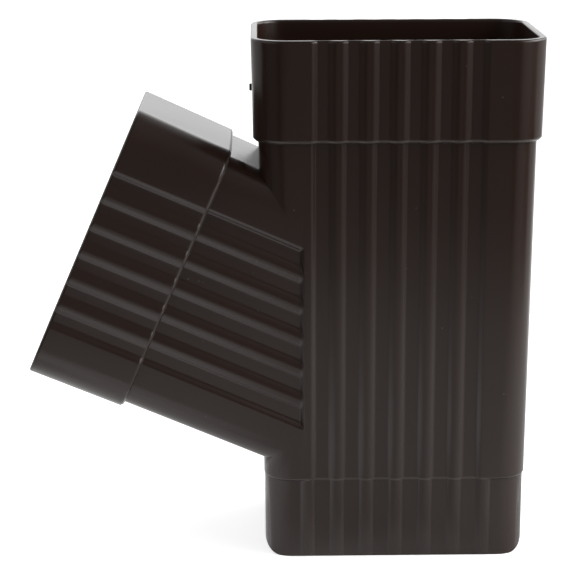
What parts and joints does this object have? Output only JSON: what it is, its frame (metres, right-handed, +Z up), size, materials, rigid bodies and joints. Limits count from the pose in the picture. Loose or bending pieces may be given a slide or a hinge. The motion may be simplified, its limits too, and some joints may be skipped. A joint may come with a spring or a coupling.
{
  "type": "downspout three-way connector",
  "caption": "Fluted rectangular downspout wye in dark brown vinyl, with a socket at its top and on its slanted side branch, and a ribbed spigot at its foot.",
  "frame": {"origin": "on the main tube's axis, in the plane of the spigot's end", "axes": "+Z up the main tube's axis, the branch leans towards -X, the broad fluted faces look along -Y and +Y"},
  "size_m": [0.1431, 0.0538, 0.1477],
  "materials": {
    "brown_vinyl": "semi-gloss moulded vinyl, very dark brown"
  },
  "bodies": {
    "root": {"connector_body": "brown_vinyl"}
  },
  "joints": []
}
